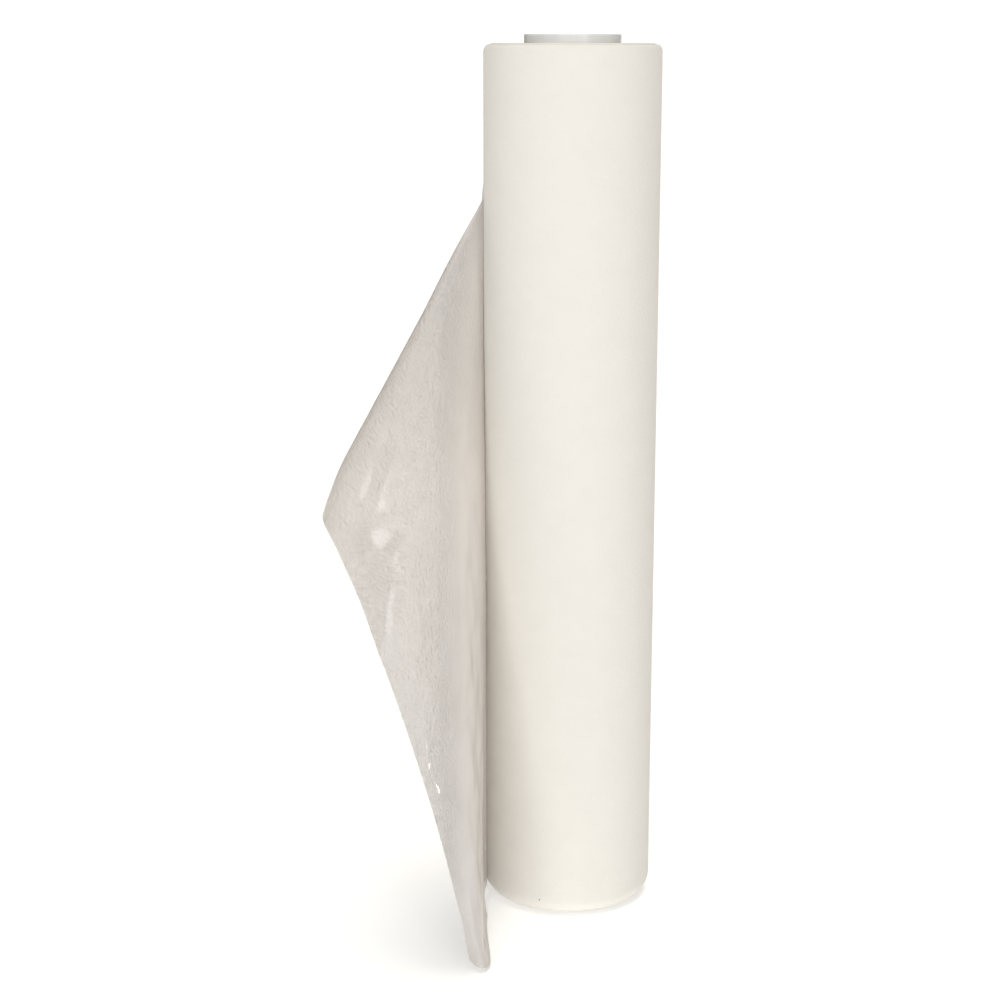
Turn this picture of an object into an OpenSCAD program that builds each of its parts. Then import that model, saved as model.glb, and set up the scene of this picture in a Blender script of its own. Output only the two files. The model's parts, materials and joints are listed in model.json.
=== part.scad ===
// Exam table paper roll, standing on its end.
// One sheet of film-backed tissue is wound on a plastic tube. Its loose end hangs off the left side
// towards the front, and the upper corner of the loose end is folded over behind the roll.
// The origin is on the tube's axis at its lower end, +Z runs up the tube, and the front is -Y.
// All sizes are in millimetres.

/* [Core tube] */
// Outside diameter of the tube
core_d = 54; // [44:1:64]
// Wall of the tube
core_wall = 2; // [1.2:0.2:5]
// How far the tube stands out of the wound turns at the top
core_proud = 4.8; // [1:0.2:15]
// Rounding of the tube's outer rims
rim_round = 0.8; // [0.2:0.1:1]

/* [Wound turns] */
// Diameter over the wound turns
roll_d = 100; // [90:1:130]
// Width of the sheet, which is the height of the turns as the roll stands
sheet_w = 500; // [460:5:600]
// Number of turns, each standing for about twelve turns of the thin sheet
turns = 18; // [12:1:20]
// Gap between one turn and the next
turn_gap = 0.25; // [0.15:0.05:0.4]
// Clearance between the tube and the innermost turn
core_clearance = 0.15; // [0.1:0.05:0.4]
// Rounding of the lower end, where the outer turns curl in
foot_round = 11; // [4:0.5:14]
// Rounding of the upper end
head_round = 5; // [2:0.5:8]

/* [Loose end] */
// Thickness of the single sheet
sheet_t = 0.6; // [0.4:0.1:0.8]
// Length of sheet that hangs free of the roll
tail_l = 124; // [100:1:140]
// Direction of the line where the sheet leaves the roll, in degrees from +X
leave_a = -165; // [-175:1:-155]
// Direction of the point where the fold leaves the roll, in degrees from +X
fold_a = -174; // [-181:1:-170]
// Height of the point where the fold leaves the roll
fold_root_h = 413; // [380:1:430]
// Height of the outer end of the fold
fold_end_h = 250; // [220:1:280]
// Length of the cut edge from the floor to the fold
cut_edge_l = 270; // [250:1:300]
// Half the opening of the fold where it lies on the roll
fold_tight = 0.7; // [0.6:0.1:1.2]
// Half the opening that the fold gains out to the cut edge
fold_open = 9; // [4:0.5:12]
// How far the folded corner stands off the roll behind
flap_lift = 8; // [3:0.5:14]

/* [Hidden] */

// Wound turns
steps = 30;
roll_r = roll_d / 2;
// The innermost turn keeps its clearance at the middle of each flat step
first_r = (core_d / 2 + core_clearance) / cos(180 / steps);
pitch = (roll_r - first_r + turn_gap) / (turns + 1);
ply_t = pitch - turn_gap;
core_l = sheet_w + core_proud;

// Loose end, measured along the sheet as s (0 at the line where it leaves the roll, tail_l at the cut
// edge) and across it as w (0 at the lower edge, sheet_w at the upper edge)
leaf_r = roll_r - sheet_t / 2;
fold_slope = (fold_root_h - cut_edge_l) / tail_l;
back_s = -(sheet_w - fold_root_h) / fold_slope;
// The loose end's columns start just past the fold's upper end, one step on from the wound turns
start_s = back_s + 2;
wind_end_a = fold_a + arc_deg(start_s) - 360 / steps;
root_cols = 10;
free_cols = 14;
margin_rows = 3;
front_rows = 11;
bend_rows = 6;
flap_rows = 9;
// Slope of a sheet line behind the fold, as the fold mirrors it
flap_rise = (pow(fold_slope, 2) - 1) / (pow(fold_slope, 2) + 1);

// Guide points of the hanging front, row by row from the floor up. Each is [left, forward, rise]: the
// first two in mm from the line where the sheet leaves the roll, on a tail of guide_l, and the last as
// a share of the fold's height above it. In a row they go out in three steps to the cut edge.
guide_l = 124;
foot_row = [[13, 51, 0], [-11, 127, 0], [9, 99, 0.016]];
shin_row = [[-4, 47, 0.38], [2, 103, 0.36], [22, 125, 0.37]];
hip_row = [[-4, 35, 0.75], [12, 87, 0.77], [46, 95, 0.61]];
fold_end = [90, 39, 1];
// How much of the roll's curled-in foot the lower margin keeps, by its place along the tail
margin_curl = [[0, 0], [0.12, 0.45], [0.7, 0.3], [0.9, 0.12], [1, 0]];

function polar(r, a, z) = [r * cos(a), r * sin(a), z];
function arc_deg(s) = s / leaf_r * 180 / PI;
function unit(v) = v / max(norm(v), 0.000001);
function mix(a, b, k) = a + (b - a) * k;
function clamp01(k) = max(0, min(1, k));
function ease(k) = clamp01(k) * clamp01(k) * (3 - 2 * clamp01(k));
function bezier(p, t) =
    pow(1 - t, 3) * p[0] + 3 * t * pow(1 - t, 2) * p[1] + 3 * t * t * (1 - t) * p[2] + pow(t, 3) * p[3];

// Height above the roll's end at which its rounded corner meets the radius r
function corner_up(r, round) =
    r <= roll_r - round ? 0 : round - sqrt(max(0, round * round - pow(r - roll_r + round, 2)));

// Distance that a corner of the given rounding lies inside the roll's side, at the height h above its end
function corner_in(h, round) = h >= round ? 0 : round - sqrt(round * round - pow(round - h, 2));

// Width coordinate of the fold at the place s along the sheet
function fold_w(s) = fold_root_h - fold_slope * s;

// Height of the fold in space, above the place s
function fold_h(s) = s < 0 ? fold_w(s) : mix(fold_root_h, fold_end_h, s / tail_l);

// Direction from the axis of the sheet's line of leaving, at the share t of the fold's height
function leave_dir(t) = bezier([leave_a, leave_a, leave_a, fold_a], clamp01(t));

// Point of the line where the sheet leaves the roll, at the share t of the fold's height
function leave_point(t) = polar(leaf_r, leave_dir(t), t * fold_root_h);

// One guide point in space, from its row's entry and its step 1 to 3
function guide_point(g, step) =
    let (base = leave_point(0), k = tail_l / guide_l)
    [base[0] - g[0] * k, base[1] - g[1] * k, g[2] * fold_h(tail_l * step / 3)];
fold_root = leave_point(1);
fold_tip = guide_point(fold_end, 3);
guides = [
    for (row = [foot_row, shin_row, hip_row]) [for (step = [1 : 3]) guide_point(row[step - 1], step)],
    [for (step = [1 : 3]) mix(fold_root, fold_tip, step / 3)]
];

// The hanging front before its margin curls, at shares a of the tail and t of the fold's height
function front(a, t) =
    bezier([leave_point(t), for (k = [0 : 2]) bezier([for (row = guides) row[k]], t)], a);

// Level direction towards the film side of the sheet, which is the roll's side near the roll
function film_side(a, t) =
    let (run = front(min(1, a + 0.01), t) - front(max(0, a - 0.01), t))
    unit([-run[1], run[0], 0]);

// Direction from the axis of the sheet on the roll, where s is negative: straight up at the first column,
// and along the line of leaving at the last
function root_dir(s, t) = mix(fold_a, leave_dir(t), ease(1 - s / start_s)) + arc_deg(s);

// The sheet in front of the fold: on the roll where s is negative, and hanging free past it
function front_sheet(s, w) =
    s < 0
    ? polar(leaf_r, root_dir(s, w / fold_root_h), w)
    : let (a = s / tail_l, t = w / fold_w(s), curl = lookup(a, margin_curl) * corner_in(w, foot_round))
      front(a, t) + film_side(a, t) * curl;

// Line of the fold, and the level direction across it from the front sheet to the folded corner
function fold_line(s) =
    s < 0 ? polar(leaf_r, fold_a + arc_deg(s), fold_w(s)) : mix(fold_root, fold_tip, s / tail_l);
function fold_across(s) =
    let (
        out = polar(1, fold_a + arc_deg(min(s, 0)), 0),
        run = fold_tip - fold_root,
        back = unit([run[1], -run[0], 0])
    )
    unit(mix(out, back, ease(2.5 * s / tail_l)));
function half_open(s) = fold_tight + fold_open * pow(clamp01(s / tail_l), 1.2);

// The folded corner, a length l past the fold: straight to the roll, then round its back
function flap_sheet(s, l) =
    let (
        start = fold_line(s) + 2 * half_open(s) * fold_across(s),
        wrap_r = leaf_r + 2 * fold_tight + flap_lift * pow(clamp01(s / tail_l), 2),
        dist = max(norm([start[0], start[1]]), wrap_r + 0.001),
        straight = sqrt(dist * dist - wrap_r * wrap_r),
        touch_a = atan2(start[1], start[0]) - acos(wrap_r / dist),
        touch = polar(wrap_r, touch_a, start[2]),
        past = max(0, l - straight),
        near = mix(start, touch, min(1, l / max(straight, 0.001))),
        round = polar(wrap_r, touch_a - past / wrap_r * 180 / PI, start[2])
    )
    (l < straight ? near : round) + [0, 0, flap_rise * l];

// Length of sheet that the soft bend takes on each side of the fold
function bend_l(s) = min(mix(1, 20, clamp01(s / tail_l)), 0.35 * (sheet_w - fold_w(s)));

// A point of the bend, from 0 on the front to 1 on the folded corner
function bend(s, u) =
    let (f = fold_w(s), d = bend_l(s))
    bezier([front_sheet(s, f - d), front_sheet(s, f), flap_sheet(s, 0), flap_sheet(s, d)], u);

// Lower edge of the sheet: trimmed to the rounded foot on the roll, and on the floor once it is free
function low_w(s) = corner_up(leaf_r, foot_round) * (1 - ease(s / (0.2 * tail_l)));

// Row j of the sheet's middle surface at the place s, from the lower edge over the fold to the upper edge
last_front = margin_rows + front_rows;
fold_row = last_front + bend_rows / 2;
last_bend = last_front + bend_rows;
last_row = last_bend + flap_rows;
function sheet_point(s, j) =
    let (f = fold_w(s), d = bend_l(s), low = low_w(s), knee = low + foot_round)
    j <= margin_rows ? front_sheet(s, mix(low, knee, pow(j / margin_rows, 2)))
    : j <= last_front ? front_sheet(s, mix(knee, f - d, (j - margin_rows) / front_rows))
    : j <= last_bend ? bend(s, (j - last_front) / bend_rows)
    : flap_sheet(s, mix(d, sheet_w - f, (j - last_bend) / flap_rows));

// Places of the columns: on the roll up to where the sheet leaves it, then free
columns = [
    for (i = [0 : root_cols - 1]) mix(start_s, 0, i / root_cols),
    for (i = [0 : free_cols]) tail_l * i / free_cols
];
middle = [for (s = columns) [for (j = [0 : last_row]) sheet_point(s, j)]];

// One ring of the wound turns: inner low, outer low, outer high and inner high corner. Its ends follow the
// rounded foot and head of the roll.
function ring(i) =
    let (
        a = wind_end_a + (i - turns * steps) * 360 / steps,
        ri = first_r + pitch * i / steps,
        ro = ri + ply_t
    )
    [
        polar(ri, a, corner_up(ri, foot_round)),
        polar(ro, a, corner_up(ro, foot_round)),
        polar(ro, a, sheet_w - corner_up(ro, head_round)),
        polar(ri, a, sheet_w - corner_up(ri, head_round))
    ];

// One closed strip of four-cornered rings that runs on into a grid of points, whose first column follows
// the last ring up to the row top and is a free edge past it. The grid is thickened to both sides.
module strip_and_sheet(rings, grid, top, t) {
    n = len(grid) - 1;
    m = len(grid[0]) - 1;
    half = floor(top / 2);
    end = 4 * (len(rings) - 1);
    function normal_at(i, j) = unit(cross(
        grid[min(n, i + 1)][j] - grid[max(0, i - 1)][j],
        grid[i][min(m, j + 1)] - grid[i][max(0, j - 1)]));
    function lifted(p) = [p[0], p[1], max(0, p[2])];
    function id(side, i, j) = end + 4 + (side * (n + 1) + i) * (m + 1) + j;
    function halves(q) = [[q[0], q[1], q[2]], [q[0], q[2], q[3]]];
    points = concat(
        [for (r = rings) for (p = r) p],
        [
            for (side = [-1, 1]) for (i = [0 : n]) for (j = [0 : m])
                lifted(grid[i][j] + normal_at(i, j) * side * t / 2)
        ]
    );
    strip = [
        for (p = [0 : 4 : end - 4]) for (k = [0 : 3])
            let (q = p + (k + 1) % 4)
            for (tri = halves([p + k, q, q + 4, p + k + 4])) tri
    ];
    seam = concat(
        [for (j = [0 : top - 1]) [end + (j < half ? 1 : 2), id(1, 0, j + 1), id(1, 0, j)]],
        [for (j = [0 : top - 1]) [end + (j < half ? 0 : 3), id(0, 0, j), id(0, 0, j + 1)]],
        [[end + 1, end + 2, id(1, 0, half)], [end + 3, end, id(0, 0, half)]],
        halves([end, end + 1, id(1, 0, 0), id(0, 0, 0)]),
        halves([end + 2, end + 3, id(0, 0, top), id(1, 0, top)])
    );
    sheets = [
        for (i = [0 : n - 1]) for (j = [0 : m - 1])
            for (q = [
                [id(0, i, j), id(0, i + 1, j), id(0, i + 1, j + 1), id(0, i, j + 1)],
                [id(1, i, j), id(1, i, j + 1), id(1, i + 1, j + 1), id(1, i + 1, j)]
            ])
                for (tri = halves(q)) tri
    ];
    rim = concat(
        [for (i = [0 : n]) [i, 0]],
        [for (j = [1 : m]) [n, j]],
        [for (i = [n - 1 : -1 : 0]) [i, m]],
        [for (j = [m - 1 : -1 : top]) [0, j]]
    );
    edges = [
        for (k = [1 : len(rim) - 1])
            let (p = rim[k - 1], q = rim[k])
            for (tri = halves([
                id(0, p[0], p[1]), id(1, p[0], p[1]), id(1, q[0], q[1]), id(0, q[0], q[1])
            ])) tri
    ];
    polyhedron(points, concat([[3, 2, 1, 0]], strip, seam, sheets, edges));
}

module core_tube() {
    outer_r = core_d / 2;
    inner_r = outer_r - core_wall;
    color([0.93, 0.93, 0.92])
        rotate_extrude($fn = 96)
            difference() {
                translate([inner_r, 0]) square([core_wall, core_l]);
                for (end = [0, 1])
                    translate([outer_r, end * core_l]) mirror([0, end])
                        difference() {
                            translate([-rim_round, -1]) square([rim_round + 1, rim_round + 1]);
                            translate([-rim_round, rim_round]) circle(r = rim_round, $fn = 32);
                        }
            }
}

module paper_roll() {
    color([0.93, 0.9, 0.85])
        strip_and_sheet([for (i = [0 : turns * steps]) ring(i)], middle, fold_row, sheet_t);
}

core_tube();
paper_roll();
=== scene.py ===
# Exam table paper roll, standing on its end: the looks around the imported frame.
# Lengths are in millimetres until a mesh, a light or the camera is made from them.
import json
import math

import bpy
import numpy as np
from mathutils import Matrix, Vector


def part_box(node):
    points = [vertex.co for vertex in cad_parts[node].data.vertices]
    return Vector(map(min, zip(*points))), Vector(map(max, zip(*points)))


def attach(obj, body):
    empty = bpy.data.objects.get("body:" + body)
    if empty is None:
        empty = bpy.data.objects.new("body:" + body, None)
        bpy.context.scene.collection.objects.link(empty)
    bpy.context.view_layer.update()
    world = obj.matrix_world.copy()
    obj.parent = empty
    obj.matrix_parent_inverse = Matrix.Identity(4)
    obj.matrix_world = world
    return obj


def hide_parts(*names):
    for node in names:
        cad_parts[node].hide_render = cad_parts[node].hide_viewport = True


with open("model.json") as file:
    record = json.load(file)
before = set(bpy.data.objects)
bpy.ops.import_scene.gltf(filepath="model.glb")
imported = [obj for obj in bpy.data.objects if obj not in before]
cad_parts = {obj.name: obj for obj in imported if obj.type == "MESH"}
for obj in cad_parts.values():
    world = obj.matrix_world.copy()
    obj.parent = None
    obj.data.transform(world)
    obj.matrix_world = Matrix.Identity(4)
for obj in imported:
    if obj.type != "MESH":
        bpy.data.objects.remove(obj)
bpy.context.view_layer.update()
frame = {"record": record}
MM = 0.001


# Sizes that come from the frame
tube_high = np.array(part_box("core_tube")[1]) / MM
sheet_high = np.array(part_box("paper_roll")[1]) / MM
mounts = {m["name"]: m for m in frame["record"]["mounts"]}
TUBE_R = float(tube_high[0])
TUBE_TOP = float(tube_high[2])
BORE_R = float(mounts["core_bore"]["dims"]["r_mm"])
SHEET_W = float(sheet_high[2])


# Camera at the photograph's viewing angle
CAMERA_PLACE = (-40.3, -1127.1, 501.5)
CAMERA_DOWN_DEG = 13.06
LENS = 71.39


def make_camera():
    data = bpy.data.cameras.new("camera")
    data.sensor_width = 36
    data.lens = LENS
    data.clip_start = 0.01
    data.clip_end = 200
    camera = bpy.data.objects.new("camera", data)
    camera.location = [c * MM for c in CAMERA_PLACE]
    camera.rotation_euler = (math.radians(90 - CAMERA_DOWN_DEG), 0, 0)
    bpy.context.scene.collection.objects.link(camera)
    bpy.context.scene.camera = camera


# The wound roll
ROLL_R = 50.0
FOOT_ROUND = 11.0
HEAD_ROUND = 5.0
TUBE_CLEARANCE = 0.15
TURNS = 60
PLY_GAP = 0.03
FIRST_R = TUBE_R + TUBE_CLEARANCE
PITCH = (ROLL_R - FIRST_R) / (TURNS + 1)

# The loose end, measured along the sheet as s (0 at the line where it leaves the roll, TAIL_L at the cut
# edge) and across it as w (0 at the lower edge, SHEET_W at the upper edge)
SHEET_T = 0.24
TAIL_L = 124.0
LEAVE_A = -165.0
FOLD_A = -181.0
FOLD_ROOT_H = 413.0
FOLD_END_H = 250.0
CUT_EDGE_L = 270.0
FOLD_TIGHT = 0.3
FOLD_OPEN = 9.0
FLAP_LIFT = 8.0
DROP, DROP_ALONG, DROP_ACROSS = 9.0, 18.0, 35.0
LEAF_R = ROLL_R - PITCH / 2
FOLD_SLOPE = (FOLD_ROOT_H - CUT_EDGE_L) / TAIL_L
START_S = -(SHEET_W - FOLD_ROOT_H) / FOLD_SLOPE + 1
FLAP_RISE = (FOLD_SLOPE**2 - 1) / (FOLD_SLOPE**2 + 1)
START_A = FOLD_A + math.degrees(START_S / LEAF_R)

# Guide points of the hanging front, row by row from the floor up. Each is (left, forward, rise): the
# first two from the line where the sheet leaves the roll, and the last as a share of the fold's height.
# In a row they go out in three steps to the cut edge.
FOOT_ROW = [(13, 51, 0), (-11, 127, 0), (9, 99, 0.016)]
SHIN_ROW = [(-4, 47, 0.38), (2, 103, 0.36), (22, 125, 0.37)]
HIP_ROW = [(-4, 35, 0.75), (12, 87, 0.77), (46, 95, 0.61)]
FOLD_END = (90, 39, 1)
# How much of the roll's curled-in foot the lower margin keeps, by its place along the tail
CURL_AT = [0, 0.12, 0.7, 0.9, 1]
CURL = [0, 0.45, 0.3, 0.12, 0]


def polar(r, deg, z):
    """Points at the radius r, direction deg and height z."""
    r, deg, z = np.broadcast_arrays(r, np.radians(deg), z)
    return np.stack([r * np.cos(deg), r * np.sin(deg), z], -1).astype(float)


def unit(v):
    return v / np.maximum(np.linalg.norm(v, axis=-1, keepdims=True), 1e-9)


def mix(a, b, k):
    return a + (b - a) * k


def ease(k):
    k = np.clip(k, 0, 1)
    return k * k * (3 - 2 * k)


def fade(v, start, length):
    """Rises softly from 0 at start to 1 a length further on."""
    return ease((v - start) / length)


def bezier(p, t):
    """A cubic through four control values or points, at the shares t."""
    return (1 - t) ** 3 * p[0] + 3 * t * (1 - t) ** 2 * p[1] + 3 * t * t * (1 - t) * p[2] + t**3 * p[3]


def corner_up(r, rounding):
    """Height above the roll's end at which its rounded corner meets the radius r."""
    inside = np.maximum(0, r - ROLL_R + rounding)
    return rounding - np.sqrt(np.maximum(0, rounding**2 - inside**2))


def corner_in(h, rounding):
    """Distance that a rounded corner lies inside the roll's side, at the height h above its end."""
    below = np.clip(rounding - h, 0, rounding)
    return rounding - np.sqrt(rounding**2 - below**2)


def spiral_r(a):
    """Middle radius of the wound sheet at the direction a, which counts on through the turns."""
    return LEAF_R + PITCH * (a - START_A) / 360


def fold_w(s):
    return FOLD_ROOT_H - FOLD_SLOPE * s


def fold_h(s):
    return np.where(s < 0, fold_w(s), mix(FOLD_ROOT_H, FOLD_END_H, s / TAIL_L))


def leave_dir(t):
    return bezier([LEAVE_A, LEAVE_A, LEAVE_A, FOLD_A], np.clip(t, 0, 1))


def root_dir(s, t):
    """Direction of the sheet on the roll: straight up at the first column, and as it leaves at s = 0."""
    return mix(FOLD_A, leave_dir(t), ease(1 - s / START_S)) + np.degrees(s / LEAF_R)


LEAVE_R = float(spiral_r(LEAVE_A))


def leave_point(t):
    """The line where the sheet leaves the roll, at the share t of the fold's height."""
    turn = leave_dir(t)
    return polar(spiral_r(turn), turn, t * FOLD_ROOT_H)


def guide_point(g, step):
    base = leave_point(0)
    return np.array([base[0] - g[0], base[1] - g[1], g[2] * float(fold_h(TAIL_L * step / 3))])


FOLD_ROOT = leave_point(1)
FOLD_TIP = guide_point(FOLD_END, 3)
GUIDES = [[guide_point(g, k + 1) for k, g in enumerate(row)] for row in (FOOT_ROW, SHIN_ROW, HIP_ROW)]
GUIDES.append([mix(FOLD_ROOT, FOLD_TIP, k / 3) for k in (1, 2, 3)])


def front(a, t):
    """The hanging front before its margin curls, at shares a of the tail and t of the fold's height."""
    out = [bezier([row[k] for row in GUIDES], t[..., None]) for k in range(3)]
    return bezier([leave_point(t), *out], a[..., None])


def film_side(a, t):
    """Level direction towards the film side of the sheet."""
    run = front(np.minimum(1, a + 0.01), t) - front(np.maximum(0, a - 0.01), t)
    return unit(np.stack([-run[..., 1], run[..., 0], 0 * a], -1))


def front_sheet(s, w):
    """The sheet in front of the fold: on the roll where s is negative, and hanging free past it."""
    a = np.clip(s / TAIL_L, 0, 1)
    t = np.clip(w / fold_w(s), 0, 1)
    curl = np.interp(a, CURL_AT, CURL) * corner_in(w, FOOT_ROUND)
    free = front(a, t) + film_side(a, t) * curl[..., None]
    turn = root_dir(s, w / FOLD_ROOT_H)
    r = spiral_r(turn) - corner_in(SHEET_W - w, HEAD_ROUND)
    return np.where((s < 0)[..., None], polar(r, turn, w), free)


def fold_line(s):
    turn = FOLD_A + np.degrees(np.minimum(s, 0) / LEAF_R)
    on_roll = polar(spiral_r(turn), turn, fold_w(s))
    free = mix(FOLD_ROOT, FOLD_TIP, np.maximum(s, 0)[..., None] / TAIL_L)
    return np.where((s < 0)[..., None], on_roll, free)


def fold_across(s):
    """Level direction across the fold, from the front sheet to the folded corner."""
    out = polar(1, FOLD_A + np.degrees(np.minimum(s, 0) / LEAF_R), 0)
    run = FOLD_TIP - FOLD_ROOT
    back = unit(np.array([run[1], -run[0], 0]))
    return unit(mix(out, back, ease(2.5 * s / TAIL_L)[..., None]))


def half_open(s):
    return FOLD_TIGHT + FOLD_OPEN * np.clip(s / TAIL_L, 0, 1) ** 1.2


def flap_sheet(s, l):
    """The folded corner, a length l past the fold: straight to the roll, then round its back."""
    start = fold_line(s) + (2 * half_open(s))[..., None] * fold_across(s)
    wrap_r = LEAVE_R + 2 * FOLD_TIGHT + FLAP_LIFT * np.clip(s / TAIL_L, 0, 1) ** 2
    dist = np.maximum(np.hypot(start[..., 0], start[..., 1]), wrap_r + 0.001)
    straight = np.sqrt(dist**2 - wrap_r**2)
    touch_a = np.degrees(np.arctan2(start[..., 1], start[..., 0]) - np.arccos(wrap_r / dist))
    touch = polar(wrap_r, touch_a, start[..., 2])
    near = mix(start, touch, np.clip(l / np.maximum(straight, 0.001), 0, 1)[..., None])
    past = np.maximum(0, l - straight)
    round_back = polar(wrap_r, touch_a - np.degrees(past / wrap_r), start[..., 2])
    p = np.where((l < straight)[..., None], near, round_back)
    p[..., 2] += FLAP_RISE * l
    return p


def bend_l(s):
    """Length of sheet that the soft bend takes on each side of the fold."""
    return np.minimum(mix(0.8, 20, np.clip(s / TAIL_L, 0, 1)), 0.35 * (SHEET_W - fold_w(s)))


def bend(s, u):
    f, d = fold_w(s), bend_l(s)
    ends = [front_sheet(s, f - d), front_sheet(s, f), flap_sheet(s, 0 * s), flap_sheet(s, d)]
    return bezier(ends, u[..., None])


def low_w(s):
    """Lower edge of the sheet: trimmed to the rounded foot on the roll, on the floor once it is free."""
    return corner_up(LEAF_R - 2, FOOT_ROUND) * (1 - fade(s, 0, 0.2 * TAIL_L))


def tip_drop(s, w):
    """How far the fold's outer end sinks, which rounds the corner between the fold and the cut edge."""
    near = np.clip((s - TAIL_L + DROP_ALONG) / DROP_ALONG, 0, 1)
    return DROP * near**2 * np.exp(-(((w - fold_w(s)) / DROP_ACROSS) ** 2))


# The soft ridge across the hanging front: sheet coordinates of its two ends, and its waver to each side
RIDGE_START, RIDGE_END = (65.0, 267.0), (122.0, 192.0)
RIDGE_WAVER, RIDGE_WAVE_L = 4.0, 57.0
RIDGE_LIFT, RIDGE_OUTER, RIDGE_INNER, RIDGE_SOFT = 2.4, 18.0, 11.0, 3.0
# Broad waves of the free sheet: wavelength, direction in degrees, start and height
WAVES = [
    (46, 12, 0.3, 0.5),
    (31, -24, 1.9, 0.32),
    (23, 38, 4.1, 0.2),
    (17, 74, 2.2, 0.1),
    (13, 3, 5.0, 0.07),
]


def ridge_place(s, w):
    """Distances along the ridge and across it, positive towards the sheet's outer corner."""
    run = np.subtract(RIDGE_END, RIDGE_START)
    run = run / np.hypot(*run)
    ds, dw = s - RIDGE_START[0], w - RIDGE_START[1]
    along = ds * run[0] + dw * run[1]
    across = -ds * run[1] + dw * run[0]
    return along, across + RIDGE_WAVER * np.sin(2 * math.pi * along / RIDGE_WAVE_L)


def strip_place(s, w):
    """Distance out from the smooth strip that the sheet keeps next to the roll."""
    return (s + 0.31 * w - 133) / math.hypot(1, 0.31)


def relief(s, w):
    """How far the ridge and the broad waves stand out from the free sheet towards its film side."""
    along, across = ridge_place(s, w)
    side = np.where(across > 0, RIDGE_OUTER, RIDGE_INNER)
    off = np.sqrt(across**2 + RIDGE_SOFT**2) - RIDGE_SOFT
    out = RIDGE_LIFT * np.exp(-off / side) * fade(along, -25, 35)
    for length, turn, start, height in WAVES:
        turn = math.radians(turn)
        place = s * math.cos(turn) + w * math.sin(turn)
        out = out + height * np.sin(2 * math.pi * place / length + start)
    below_fold = fold_w(s) - bend_l(s) - w
    return out * fade(s, 15, 50) * fade(below_fold, 0, 20) * fade(w, 4, 25)


def sheet_point(s, w):
    """A point of the sheet's middle surface."""
    f, d = fold_w(s), bend_l(s)
    u = np.clip((w - f + d) / (2 * d), 0, 1)
    before = front_sheet(s, np.minimum(w, f - d))
    behind = flap_sheet(s, np.maximum(w - f, d))
    p = np.where((w < f - d)[..., None], before, bend(s, u))
    p = np.where((w > f + d)[..., None], behind, p)
    p[..., 2] -= tip_drop(s, w)
    return p


# Meshes
CUT_RAGGED = 0.22
MARGIN_ROWS, FRONT_ROWS, BEND_ROWS, FLAP_ROWS = 8, 200, 24, 90
ROOT_COLUMNS, FREE_COLUMNS = 26, 112


def loose_end_places():
    """Sheet coordinates (s, w) of the loose end's grid, in columns from the roll to the cut edge."""
    root = np.linspace(START_S, 0, ROOT_COLUMNS, endpoint=False)
    s = np.concatenate([root, np.linspace(0, TAIL_L, FREE_COLUMNS)])
    f, d, low = fold_w(s), bend_l(s), low_w(s)
    knee = low + FOOT_ROUND
    rows = [mix(low, knee, (j / MARGIN_ROWS) ** 2) for j in range(MARGIN_ROWS)]
    rows += [mix(knee, f - d, j / FRONT_ROWS) for j in range(FRONT_ROWS)]
    rows += [mix(f - d, f + d, j / BEND_ROWS) for j in range(BEND_ROWS)]
    rows += [mix(f + d, SHEET_W, j / FLAP_ROWS) for j in range(FLAP_ROWS + 1)]
    w = np.stack(rows, 1)
    return np.broadcast_to(s[:, None], w.shape).copy(), w


def grid_normals(grid):
    along = np.gradient(grid, axis=0)
    across = np.gradient(grid, axis=1)
    return unit(np.cross(along, across))


def grid_faces(rows, columns, first=0):
    """Quads of a grid whose points are numbered row by row."""
    i, j = np.meshgrid(np.arange(rows - 1), np.arange(columns - 1), indexing="ij")
    a = first + i * columns + j
    return np.stack([a, a + columns, a + columns + 1, a + 1], -1).reshape(-1, 4)


def rim_faces(rows, columns, other):
    """Quads that close the rim between a grid and the same grid numbered from other on."""
    i, j = np.arange(rows), np.arange(columns)
    loop = np.concatenate([
        i[:-1] * columns,
        (rows - 1) * columns + j[:-1],
        i[:0:-1] * columns + columns - 1,
        j[:0:-1],
    ])
    after = np.roll(loop, -1)
    return np.stack([loop, after, after + other, loop + other], -1)


def make_object(name, points, faces, indices, places, flows):
    """A mesh object from points in millimetres, with its sheet coordinates and wrinkle coordinates."""
    mesh = bpy.data.meshes.new(name)
    mesh.from_pydata((points * MM).tolist(), [], faces.tolist())
    mesh.polygons.foreach_set("material_index", np.asarray(indices, np.int32))
    for attribute, values in (("flat", places), ("flow", flows)):
        layer = mesh.attributes.new(attribute, "FLOAT_VECTOR", "POINT")
        layer.data.foreach_set("vector", (np.asarray(values) * MM).astype(np.float32).ravel())
    mesh.validate()
    mesh.shade_smooth()
    mesh.set_sharp_from_angle(angle=math.radians(40))
    piece = bpy.data.objects.new(name, mesh)
    bpy.context.scene.collection.objects.link(piece)
    return piece


def make_shell(name, grid, normals, places, flows, thickness):
    """A closed sheet around a grid: material 0 on the side that the normals point to, 1 on the other."""
    rows, columns = grid.shape[:2]
    count = rows * columns
    outer = grid + normals * thickness / 2
    inner = grid - normals * thickness / 2
    points = np.concatenate([outer.reshape(-1, 3), inner.reshape(-1, 3)])
    points[:, 2] = np.maximum(points[:, 2], 0)
    sides = grid_faces(rows, columns)
    back = sides[:, ::-1] + count
    rim = rim_faces(rows, columns, count)[:, ::-1]
    faces = np.concatenate([sides, back, rim])
    indices = np.repeat([0, 1, 0], [len(sides), len(back), len(rim)])
    both = [np.concatenate([v.reshape(-1, 3)] * 2) for v in (places, flows)]
    return make_object(name, points, faces, indices, *both)


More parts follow.
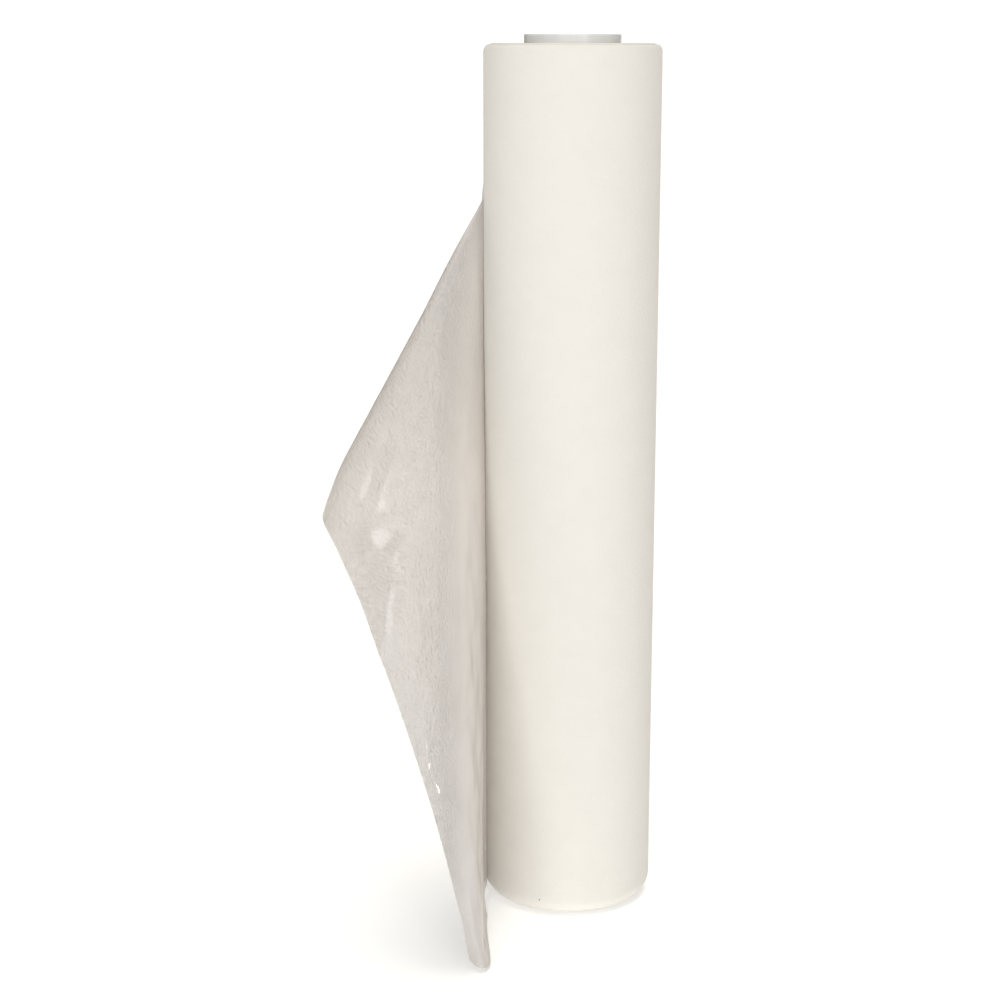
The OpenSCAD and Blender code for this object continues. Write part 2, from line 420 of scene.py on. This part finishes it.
def make_loose_end():
    s, w = loose_end_places()
    grid = sheet_point(s, w)
    grid -= grid_normals(grid) * relief(s, w)[..., None]
    rng = np.random.default_rng(4)
    ragged = rng.uniform(-CUT_RAGGED, CUT_RAGGED, grid.shape[1])
    grid[-1] += unit(grid[-1] - grid[-2]) * ragged[:, None]
    along, across = ridge_place(s, w)
    strip = strip_place(s, w)
    crinkled = fade(strip, -8, 22)
    striped = fade(along, 20, 25) * fade(across, -3, 6) * fade(-across, -34, 12)
    places = np.stack([s, w, crinkled / MM], -1)
    flows = np.stack([along, strip, striped / MM], -1)
    return make_shell("loose_end", grid, grid_normals(grid), places, flows, SHEET_T)


TURN_COLUMNS, TURN_ROWS, ROUND_ROWS = 160, 170, 12


def make_outer_turn():
    """The last full turn, whose two ends curl in over the roll's rounded foot and head."""
    a = np.linspace(START_A - 360, START_A, TURN_COLUMNS + 1)
    foot = FOOT_ROUND * (1 - np.cos(np.linspace(0.68, math.pi / 2, ROUND_ROWS, endpoint=False)))
    head = SHEET_W - HEAD_ROUND * (1 - np.cos(np.linspace(math.pi / 2, 0.64, ROUND_ROWS)))
    w = np.concatenate([foot, np.linspace(FOOT_ROUND, head[0], TURN_ROWS, endpoint=False), head])
    a, w = np.meshgrid(a, w, indexing="ij")
    r = spiral_r(a) - corner_in(w, FOOT_ROUND) - corner_in(SHEET_W - w, HEAD_ROUND)
    grid = polar(r, a, w)
    places = np.stack([START_S + np.radians(a - START_A) * LEAF_R, w, 0 * w], -1)
    return make_shell("outer_turn", grid, grid_normals(grid), places, places, SHEET_T)


STEPS = 96


def make_wound_turns():
    """The turns under the last one: a strip in a spiral, whose edges wander a little in height."""
    count = (TURNS - 1) * STEPS + 1
    i = np.arange(count)
    a = START_A - 360 + (i - count + 1) * 360 / STEPS
    middle = spiral_r(a)
    half = (PITCH - PLY_GAP) / 2
    turn = i / STEPS
    wander = 0.16 * np.sin(turn * 0.83) + 0.1 * np.sin(turn * 2.17 + 1) + 0.07 * np.sin(turn * 5.3 + 2)
    low = np.maximum(0, wander + 0.1)
    high = SHEET_W - 0.35 + wander
    soft = 0.12
    profile = []
    for side, z, rise in ((-1, low, soft), (0, low, 0), (1, low, soft), (1, high, -soft), (0, high, 0),
                          (-1, high, -soft)):
        r = middle + side * half
        up = np.where(z < SHEET_W / 2, corner_up(r + 0.3, FOOT_ROUND), -corner_up(r + 0.3, HEAD_ROUND))
        profile.append(polar(r, a, z + rise + up))
    grid = np.stack(profile, 1)
    sides = len(profile)
    k = np.arange(count - 1)[:, None] * sides
    j = np.arange(sides)[None, :]
    after = (j + 1) % sides
    walls = np.stack([k + j, k + after, k + sides + after, k + sides + j], -1).reshape(-1, 4)
    start = np.arange(sides)[::-1]
    end = (count - 1) * sides + np.arange(sides)
    caps = [[c[0], c[1], c[2], c[3]] for c in (start, end)]
    caps += [[c[0], c[3], c[4], c[5]] for c in (start, end)]
    faces = np.concatenate([walls, np.array(caps)])
    along = np.repeat(np.radians(a - START_A) * LEAF_R, sides)
    points = grid.reshape(-1, 3)
    places = np.stack([along, points[:, 2], 0 * along], -1)
    return make_object("wound_turns", points, faces, np.zeros(len(faces)), places, places)


RIM_ROUND, INNER_ROUND = 0.8, 0.35
TUBE_SIDES, ARC_POINTS = 160, 8


def make_tube():
    """The tube: a lathed wall with rounded rims."""
    quarter = np.linspace(0, math.pi / 2, ARC_POINTS)
    profile = []
    for r, z, out, up, rounding in (
        (TUBE_R, 0, 1, -1, RIM_ROUND), (TUBE_R, TUBE_TOP, 1, 1, RIM_ROUND),
        (BORE_R, TUBE_TOP, -1, 1, INNER_ROUND), (BORE_R, 0, -1, -1, INNER_ROUND),
    ):
        turn = quarter if out == up else quarter[::-1]
        profile.append(np.stack([
            r - out * rounding * (1 - np.cos(turn)), z - up * rounding * (1 - np.sin(turn))
        ], -1))
    loop = np.concatenate(profile)
    sides = len(loop)
    a = np.arange(TUBE_SIDES) * 360 / TUBE_SIDES
    points = np.stack([polar(r, a, z) for r, z in loop], 1).reshape(-1, 3)
    i = np.arange(TUBE_SIDES)[:, None]
    j = np.arange(sides)[None, :]
    i, j = np.broadcast_arrays(i, j)
    on, up = (i + 1) % TUBE_SIDES, (j + 1) % sides
    faces = np.stack([i * sides + j, on * sides + j, on * sides + up, i * sides + up], -1).reshape(-1, 4)
    return make_object("tube", points, faces, np.zeros(len(faces)), points, points)


# Materials: colours in pairs, deep and pale, that a soft cloud mixes
TISSUE_COLOURS = (0.885, 0.852, 0.798), (0.90, 0.868, 0.813)
SINGLE_COLOURS = (0.94, 0.915, 0.87), (0.955, 0.93, 0.885)
FILM_COLOURS = (0.905, 0.875, 0.86), (0.93, 0.905, 0.89)
TUBE_COLOURS = (0.88, 0.88, 0.87), (0.91, 0.91, 0.90)
FLOOR_COLOURS = (0.97, 0.97, 0.97), (0.985, 0.985, 0.985)
SPECK_COLOUR = (0.25, 0.2, 0.15, 1)
# Share of the light that passes each face of a single ply
THROUGH = 0.5
# Heights of the embossing, the crinkles and the tube's streaks, in metres
EMBOSS_H, CRINKLE_H, STREAK_H = 0.00014, 0.0006, 0.00005
# Shares of that height that each kind of crinkle takes on the film
FINE, BROAD, STRIPES, UPRIGHT, LEAST_CRINKLED = 3.2, 2.6, 0.5, 0.1, 0.25
# Spacing of the film's ripples and how far they wander, in metres
RIPPLE_L, RIPPLE_WANDER = 0.0021, 0.009
# Light that the floor gives by itself
FLOOR_GLOW = 0.3


def new_material(name):
    material = bpy.data.materials.new(name)
    material.use_nodes = True
    nodes = material.node_tree.nodes
    return material, nodes, material.node_tree.links, nodes["Principled BSDF"]


def node(nodes, kind, **values):
    made = nodes.new(kind)
    for key, value in values.items():
        if key.startswith("in_"):
            made.inputs[key[3:].replace("_", " ")].default_value = value
        else:
            setattr(made, key, value)
    return made


def noise(nodes, links, vector, scale, detail=2.0, rough=0.5):
    made = node(nodes, "ShaderNodeTexNoise", in_Scale=scale, in_Detail=detail, in_Roughness=rough)
    links.new(vector, made.inputs["Vector"])
    return made.outputs["Fac"]


def math_node(nodes, links, operation, a, b):
    made = node(nodes, "ShaderNodeMath", operation=operation)
    for k, value in enumerate((a, b)):
        if isinstance(value, (int, float)):
            made.inputs[k].default_value = value
        else:
            links.new(value, made.inputs[k])
    return made.outputs[0]


def scaled(nodes, links, vector, scale):
    made = node(nodes, "ShaderNodeMapping")
    made.inputs["Scale"].default_value = scale
    links.new(vector, made.inputs["Vector"])
    return made.outputs[0]


def ramp(nodes, links, value, stops):
    """The colour that the value has between the stops, each a place and a colour."""
    made = node(nodes, "ShaderNodeValToRGB")
    elements = made.color_ramp.elements
    while len(elements) < len(stops):
        elements.new(0.5)
    for element, (place, colour) in zip(elements, stops):
        element.position = place
        element.color = (*colour, 1)
    links.new(value, made.inputs[0])
    return made.outputs["Color"]


def clouded(nodes, links, value, colours):
    return ramp(nodes, links, value, [(0.3, colours[0]), (0.7, colours[1])])


def attribute(nodes, name):
    return node(nodes, "ShaderNodeAttribute", attribute_name=name).outputs["Vector"]


def split_xyz(nodes, links, vector):
    made = node(nodes, "ShaderNodeSeparateXYZ")
    links.new(vector, made.inputs[0])
    return made.outputs


def add_bump(nodes, links, shader, height, distance):
    made = node(nodes, "ShaderNodeBump", in_Strength=1.0, in_Distance=distance)
    links.new(height, made.inputs["Height"])
    links.new(made.outputs["Normal"], shader.inputs["Normal"])


def specks(nodes, links, vector, colour):
    """The colour with a few tiny dark specks, as recycled pulp leaves them."""
    cell = node(nodes, "ShaderNodeTexVoronoi", in_Scale=24.0)
    links.new(vector, cell.inputs["Vector"])
    split = node(nodes, "ShaderNodeSeparateColor")
    links.new(cell.outputs["Color"], split.inputs[0])
    near = math_node(nodes, links, "LESS_THAN", cell.outputs["Distance"], 0.011)
    few = math_node(nodes, links, "GREATER_THAN", split.outputs[0], 0.72)
    mixed = node(nodes, "ShaderNodeMix", data_type="RGBA")
    links.new(math_node(nodes, links, "MULTIPLY", near, few), mixed.inputs[0])
    links.new(colour, mixed.inputs[6])
    mixed.inputs[7].default_value = SPECK_COLOUR
    return mixed.outputs[2]


def crepe_height(nodes, links, flat):
    """Height of the tissue's embossing: close soft dimples over fine crepe."""
    crepe = noise(nodes, links, scaled(nodes, links, flat, (1, 0.7, 1)), 900, 2, 0.6)
    dimple = node(nodes, "ShaderNodeTexVoronoi", feature="SMOOTH_F1", in_Scale=620.0)
    links.new(flat, dimple.inputs["Vector"])
    return math_node(nodes, links, "ADD", crepe, dimple.outputs["Distance"])


def pass_light(nodes, links, shader, colour):
    """Lets light through a single ply."""
    through = node(nodes, "ShaderNodeBsdfTranslucent")
    links.new(colour, through.inputs["Color"])
    both = node(nodes, "ShaderNodeMixShader")
    both.inputs[0].default_value = THROUGH
    links.new(shader.outputs[0], both.inputs[1])
    links.new(through.outputs[0], both.inputs[2])
    links.new(both.outputs[0], nodes["Material Output"].inputs["Surface"])


def tissue_material(name, colours, single_ply):
    """Matte, warm white, embossed tissue: wound it has specks, and a single ply passes light."""
    material, nodes, links, shader = new_material(name)
    flat = attribute(nodes, "flat")
    colour = clouded(nodes, links, noise(nodes, links, flat, 60, 3), colours)
    if single_ply:
        pass_light(nodes, links, shader, colour)
    else:
        colour = specks(nodes, links, flat, colour)
    links.new(colour, shader.inputs["Base Color"])
    shader.inputs["Roughness"].default_value = 0.9
    shader.inputs["Specular IOR Level"].default_value = 0.15
    add_bump(nodes, links, shader, crepe_height(nodes, links, flat), EMBOSS_H)
    return material


def ripple(nodes, links, place, wander):
    """Ripples across a coordinate, which wander with a noise."""
    shift = math_node(nodes, links, "MULTIPLY", wander, RIPPLE_WANDER)
    shifted = math_node(nodes, links, "ADD", place, shift)
    turn = math_node(nodes, links, "MULTIPLY", shifted, 2 * math.pi / RIPPLE_L)
    return math_node(nodes, links, "SINE", turn, 0)


def weighted_sum(nodes, links, a, share_a, b, share_b):
    a = math_node(nodes, links, "MULTIPLY", a, share_a)
    b = math_node(nodes, links, "MULTIPLY", b, share_b)
    return math_node(nodes, links, "ADD", a, b)


def film_material():
    """The film side: a thin glossy backing, crinkled and rippled where the sheet has been handled."""
    material, nodes, links, shader = new_material("film")
    flat = attribute(nodes, "flat")
    along, strip, striped = split_xyz(nodes, links, attribute(nodes, "flow"))
    crinkled = split_xyz(nodes, links, flat)[2]
    on_sheet = scaled(nodes, links, flat, (1, 1, 0))
    colour = clouded(nodes, links, noise(nodes, links, on_sheet, 45, 3), FILM_COLOURS)
    links.new(colour, shader.inputs["Base Color"])
    shader.inputs["Roughness"].default_value = 0.26
    shader.inputs["Specular IOR Level"].default_value = 0.5
    shader.inputs["Coat Weight"].default_value = 1.0
    shader.inputs["Coat Roughness"].default_value = 0.1
    pass_light(nodes, links, shader, colour)
    fine = noise(nodes, links, scaled(nodes, links, on_sheet, (1, 0.55, 1)), 640, 2, 0.55)
    broad = noise(nodes, links, on_sheet, 170, 3, 0.6)
    wander = noise(nodes, links, on_sheet, 55, 2)
    stripes = math_node(nodes, links, "MULTIPLY", ripple(nodes, links, along, wander), striped)
    upright = math_node(nodes, links, "MULTIPLY", ripple(nodes, links, strip, wander), crinkled)
    crinkle = weighted_sum(nodes, links, fine, FINE, broad, BROAD)
    ripples = weighted_sum(nodes, links, stripes, STRIPES, upright, UPRIGHT)
    amount = math_node(nodes, links, "ADD", crinkled, LEAST_CRINKLED)
    rough = math_node(nodes, links, "MULTIPLY", crinkle, amount)
    add_bump(nodes, links, shader, math_node(nodes, links, "ADD", rough, ripples), CRINKLE_H)
    return material


def tube_material():
    """Glossy white plastic with faint streaks along the tube."""
    material, nodes, links, shader = new_material("tube_plastic")
    place = node(nodes, "ShaderNodeTexCoord").outputs["Object"]
    streak = noise(nodes, links, scaled(nodes, links, place, (1, 1, 0.03)), 260, 2)
    links.new(clouded(nodes, links, streak, TUBE_COLOURS), shader.inputs["Base Color"])
    shader.inputs["Roughness"].default_value = 0.22
    shader.inputs["Subsurface Weight"].default_value = 0.25
    shader.inputs["Subsurface Radius"].default_value = (0.003, 0.003, 0.0028)
    shader.inputs["Subsurface Scale"].default_value = 1.0
    add_bump(nodes, links, shader, streak, STREAK_H)
    return material


def floor_material():
    """A pale floor that is lit from below as well, like a light table."""
    material, nodes, links, shader = new_material("pale_floor")
    place = node(nodes, "ShaderNodeTexCoord").outputs["Object"]
    cloud = noise(nodes, links, place, 3, 2)
    links.new(clouded(nodes, links, cloud, FLOOR_COLOURS), shader.inputs["Base Color"])
    shader.inputs["Roughness"].default_value = 0.95
    shader.inputs["Specular IOR Level"].default_value = 0.0
    shader.inputs["Emission Color"].default_value = (1, 1, 1, 1)
    shader.inputs["Emission Strength"].default_value = FLOOR_GLOW
    return material


# Studio
FLOOR_R = 60.0
# Each sun is where it shines from, its strength, its spread in degrees and its colour
SUNS = {
    "key": ((-0.58, -0.81, 0.6), 0.2, 12, (1.0, 1.0, 1.0)),
    "front": ((-0.12, -0.98, 0.3), 1.08, 60, (0.93, 0.98, 1.0)),
    "glint": ((0.43, -0.87, 0.2), 0.34, 5, (1.0, 1.0, 1.0)),
    "top": ((0, 0, 1), 2.0, 40, (1.0, 0.95, 0.88)),
    "back": ((0.25, 0.92, 0.4), 0.6, 50, (1.0, 1.0, 1.0)),
}
BACKDROP = 1.1


def make_floor(material):
    mesh = bpy.data.meshes.new("floor")
    corners = [(x * FLOOR_R, y * FLOOR_R, 0) for x, y in ((-1, -1), (1, -1), (1, 1), (-1, 1))]
    mesh.from_pydata(corners, [], [(0, 1, 2, 3)])
    mesh.materials.append(material)
    floor = bpy.data.objects.new("floor", mesh)
    bpy.context.scene.collection.objects.link(floor)


def make_sun(name, came_from, strength, spread_deg, colour):
    data = bpy.data.lights.new(name, "SUN")
    data.energy = strength
    data.angle = math.radians(spread_deg)
    data.color = colour
    sun = bpy.data.objects.new(name, data)
    x, y, z = came_from
    sun.rotation_euler = (math.atan2(math.hypot(x, y), z), 0, math.atan2(x, -y))
    bpy.context.scene.collection.objects.link(sun)


def make_world():
    """A plain white backdrop that gives no light of its own."""
    world = bpy.data.worlds.new("studio")
    world.use_nodes = True
    nodes, links = world.node_tree.nodes, world.node_tree.links
    seen = node(nodes, "ShaderNodeLightPath").outputs["Is Camera Ray"]
    background = nodes["Background"]
    background.inputs["Color"].default_value = (1, 1, 1, 1)
    links.new(math_node(nodes, links, "MULTIPLY", seen, BACKDROP), background.inputs["Strength"])
    bpy.context.scene.world = world


def dress(piece, slot, *materials):
    """Gives a piece its materials, and names the body it rides on. The slot argument is not used."""
    for material in materials:
        piece.data.materials.append(material)
    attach(piece, "root")


make_camera()
tissue = tissue_material("tissue", TISSUE_COLOURS, False)
single_tissue = tissue_material("single_tissue", SINGLE_COLOURS, True)
film = film_material()
plastic = tube_material()
tube = make_tube()
dress(tube, "core", plastic)
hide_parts("core_tube")
wound_turns = make_wound_turns()
dress(wound_turns, "sheet", tissue)
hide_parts("paper_roll")
outer_turn = make_outer_turn()
dress(outer_turn, "sheet", tissue, tissue)
loose_end = make_loose_end()
dress(loose_end, "sheet", single_tissue, film)

make_floor(floor_material())
for name, sun in SUNS.items():
    make_sun(name, *sun)
make_world()
bpy.context.scene.view_settings.view_transform = "Standard"
